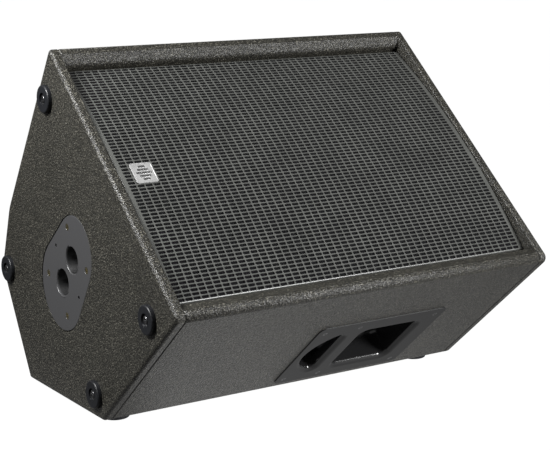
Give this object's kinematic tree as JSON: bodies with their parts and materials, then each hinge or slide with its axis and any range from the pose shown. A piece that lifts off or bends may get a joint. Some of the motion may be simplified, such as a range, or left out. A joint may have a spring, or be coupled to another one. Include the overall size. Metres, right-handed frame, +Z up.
{
  "type": "stage monitor wedge",
  "caption": "Six-sided two-way stage loudspeaker lying as a floor monitor wedge, with bowed grille, recessed carrying handle, twin pole sockets and rear amplifier plate.",
  "frame": {"origin": "centre of the bounding box, on the surface that the floor feet stand on", "axes": "+X along the cabinet from the base end (pole mount) to the top end, +Y to the back, away from the listener, +Z up"},
  "size_m": [0.574, 0.516, 0.4713],
  "materials": {
    "cabinet_paint": "textured dark paint on plywood",
    "baffle_wood": "dark stained plywood",
    "grille_steel": "powder-coated perforated sheet",
    "acoustic_foam": "open-cell black foam",
    "spring_steel": "spring steel",
    "badge_metal": "satin",
    "handle_plastic": "fine-grained moulded plastic",
    "pole_plastic": "moulded plastic",
    "zinc_screw": "yellow zinc plate",
    "black_screw": "black oxide",
    "foot_screw_steel": "dark zinc",
    "foot_rubber": "dark blue-grey rubber",
    "basket_metal": "black powder coat",
    "cone_paper": "coated pulp",
    "surround_cloth": "doped cloth",
    "coil_copper": "enamelled copper",
    "gasket_rubber": "foam rubber",
    "magnet_ceramic": "ferrite",
    "motor_plating": "zinc plated",
    "horn_plastic": "moulded plastic",
    "driver_casting": "painted",
    "diaphragm_film": "polymer film",
    "felt": "grey felt",
    "amp_plate_paint": "black powder coat",
    "heat_sink_aluminium": "black anodised",
    "socket_metal": "black",
    "inlet_plastic": "moulded plastic",
    "rocker_plastic": "gloss",
    "knob_plastic": "moulded plastic",
    "button_plastic": "moulded plastic",
    "lamp_lens": "translucent",
    "circuit_board": "solder mask",
    "component_case": "sleeved",
    "board_spacer": "plated",
    "transformer_wrap": "tape wrapped",
    "lead_sleeve": "sleeve"
  },
  "bodies": {
    "cabinet": {"amp_gasket": "gasket_rubber", "amp_plate": "amp_plate_paint", "amp_screws": "black_screw", "badge": "badge_metal", "baffle": "baffle_wood", "base_feet": "foot_rubber", "base_panel": "cabinet_paint", "board_parts": "component_case", "board_spacers": "board_spacer", "circuit_boards": "circuit_board", "compression_driver": "driver_casting", "control_bodies": "inlet_plastic", "cross_brace": "baffle_wood", "damping_felt": "felt", "floor_feet": "foot_rubber", "floor_panel": "cabinet_paint", "foot_screws": "foot_screw_steel", "grille": "grille_steel", "grille_clips": "spring_steel", "grille_foam": "acoustic_foam", "handle": "handle_plastic", "handle_screws": "black_screw", "heat_sink": "heat_sink_aluminium", "horn": "horn_plastic", "horn_fixings": "zinc_screw", "indicator_lamps": "lamp_lens", "input_socket": "socket_metal", "link_socket": "socket_metal", "lower_front_rail": "cabinet_paint", "lower_side_panel": "cabinet_paint", "magnet_ring": "magnet_ceramic", "mains_inlet": "inlet_plastic", "motor_steel": "motor_plating", "pole_mount": "pole_plastic", "pole_mount_screws": "zinc_screw", "port_tubes": "horn_plastic", "rear_panel": "cabinet_paint", "speaker_leads": "lead_sleeve", "switch_body": "inlet_plastic", "top_panel": "cabinet_paint", "transformer": "transformer_wrap", "upper_front_rail": "cabinet_paint", "upper_rear_panel": "cabinet_paint", "upper_side_panel": "cabinet_paint", "woofer_basket": "basket_metal", "woofer_gasket": "gasket_rubber", "woofer_screws": "zinc_screw", "woofer_spider": "surround_cloth", "woofer_surround": "surround_cloth"},
    "cone": {"woofer_cone": "cone_paper", "dust_cap": "cone_paper", "voice_coil": "coil_copper"},
    "diaphragm": {"driver_diaphragm": "diaphragm_film"},
    "rocker": {"power_rocker": "rocker_plastic"},
    "level": {"level_knob": "knob_plastic"},
    "tone": {"tone_knob": "knob_plastic"},
    "lift": {"lift_button": "button_plastic"},
    "monitor": {"monitor_button": "button_plastic"},
    "latch": {"input_latch": "button_plastic"}
  },
  "joints": [
    {"name": "cone_travel", "type": "slide", "parent": "cabinet", "child": "cone", "axis": [0, -0.6639, 0.7478], "range_m": [-0.005, 0.005], "stiffness_N_per_m": 4000, "deforming": ["woofer_surround", "woofer_spider"]},
    {"name": "diaphragm_travel", "type": "slide", "parent": "cabinet", "child": "diaphragm", "axis": [0, -0.6639, 0.7478], "range_m": [-0.0004, 0.0004], "stiffness_N_per_m": 80},
    {"name": "power_switch", "type": "hinge", "parent": "cabinet", "child": "rocker", "pos_m": [-0.103, 0.23067, 0.10282], "axis": [-1, 0, 0], "range_deg": [-16, 0]},
    {"name": "level_turn", "type": "hinge", "parent": "cabinet", "child": "level", "pos_m": [0.001, 0.23328, 0.10133], "axis": [0, 0.8678, -0.497], "range_deg": [-150, 150]},
    {"name": "tone_turn", "type": "hinge", "parent": "cabinet", "child": "tone", "pos_m": [0.001, 0.20644, 0.05448], "axis": [0, 0.8678, -0.497], "range_deg": [-150, 150]},
    {"name": "lift_press", "type": "slide", "parent": "cabinet", "child": "lift", "axis": [0, -0.8678, 0.497], "range_m": [0, 0.003], "stiffness_N_per_m": 200},
    {"name": "monitor_press", "type": "slide", "parent": "cabinet", "child": "monitor", "axis": [0, -0.8678, 0.497], "range_m": [0, 0.003], "stiffness_N_per_m": 200},
    {"name": "latch_press", "type": "slide", "parent": "cabinet", "child": "latch", "axis": [0, -0.8678, 0.497], "range_m": [0, 0.0015], "stiffness_N_per_m": 200}
  ]
}
